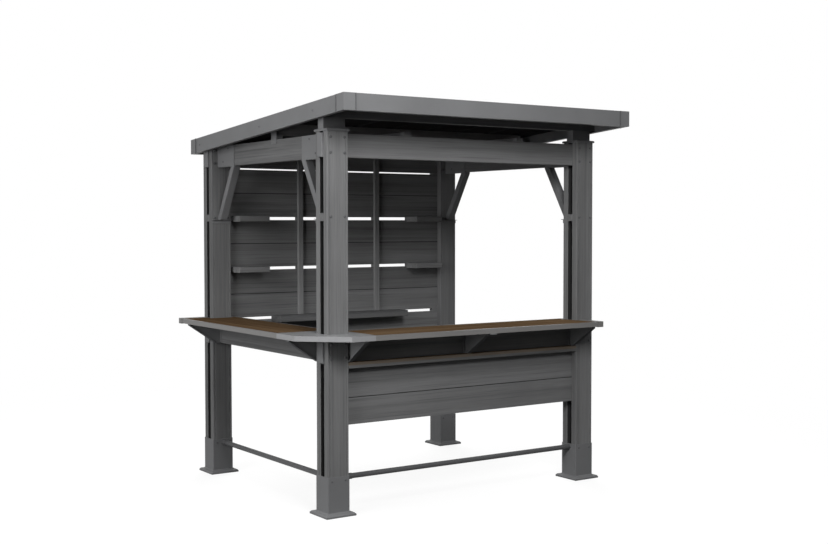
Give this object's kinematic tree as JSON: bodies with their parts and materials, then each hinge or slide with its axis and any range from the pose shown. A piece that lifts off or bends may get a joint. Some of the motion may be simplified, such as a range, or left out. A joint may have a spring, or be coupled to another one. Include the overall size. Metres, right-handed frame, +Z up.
{
  "type": "garden bar gazebo",
  "caption": "Garden bar gazebo: grey timber posts on steel boots, a single-slope metal roof, wooden bar counters on the front and left, a slatted wall with shelves at the back.",
  "frame": {"origin": "centre of the whole footprint, at ground level under the boots' base plates", "axes": "+Z up, +X along the front counter to the open right side, +Y from the front to the back wall"},
  "size_m": [2.305, 2.041, 2.438],
  "materials": {
    "grey_timber": "matte grey stain over planed softwood",
    "brown_timber": "brown stained boards, satin",
    "grey_steel": "grey powder coat, fine texture",
    "roof_sheet": "dark grey coated ribbed sheet"
  },
  "bodies": {
    "root": {"post_front_left": "grey_timber", "post_front_right": "grey_timber", "post_back_left": "grey_timber", "post_back_right": "grey_timber", "post_spacer_blocks": "grey_timber", "front_beam": "grey_timber", "back_beam": "grey_timber", "side_beams": "grey_timber", "front_counter_rail": "grey_timber", "left_counter_rail": "grey_timber", "back_rail": "grey_timber", "roof_front_header": "grey_timber", "roof_joists": "grey_timber", "roof_purlins": "grey_timber", "wall_panel_low": "grey_timber", "wall_panel_middle": "grey_timber", "wall_panel_top": "grey_timber", "wall_slot_blocks": "grey_timber", "wall_battens": "grey_timber", "front_panel": "grey_timber", "front_ledge": "grey_timber", "wall_shelves": "grey_timber", "front_counter_boards": "brown_timber", "left_counter_boards": "brown_timber", "front_ledge_boards": "brown_timber", "post_boots": "grey_steel", "beam_end_caps": "grey_steel", "side_beam_shoes": "grey_steel", "front_post_caps": "grey_steel", "back_post_caps": "grey_steel", "knee_braces": "grey_steel", "brace_brackets": "grey_steel", "front_fascia": "grey_steel", "back_fascia": "grey_steel", "left_fascia": "grey_steel", "right_fascia": "grey_steel", "roof_corner_caps": "grey_steel", "roof_straps": "grey_steel", "front_counter_tray": "grey_steel", "left_counter_tray": "grey_steel", "corner_counter": "grey_steel", "counter_gussets": "grey_steel", "counter_end_trims": "grey_steel", "foot_rails": "grey_steel", "roof_deck": "roof_sheet"}
  },
  "joints": []
}
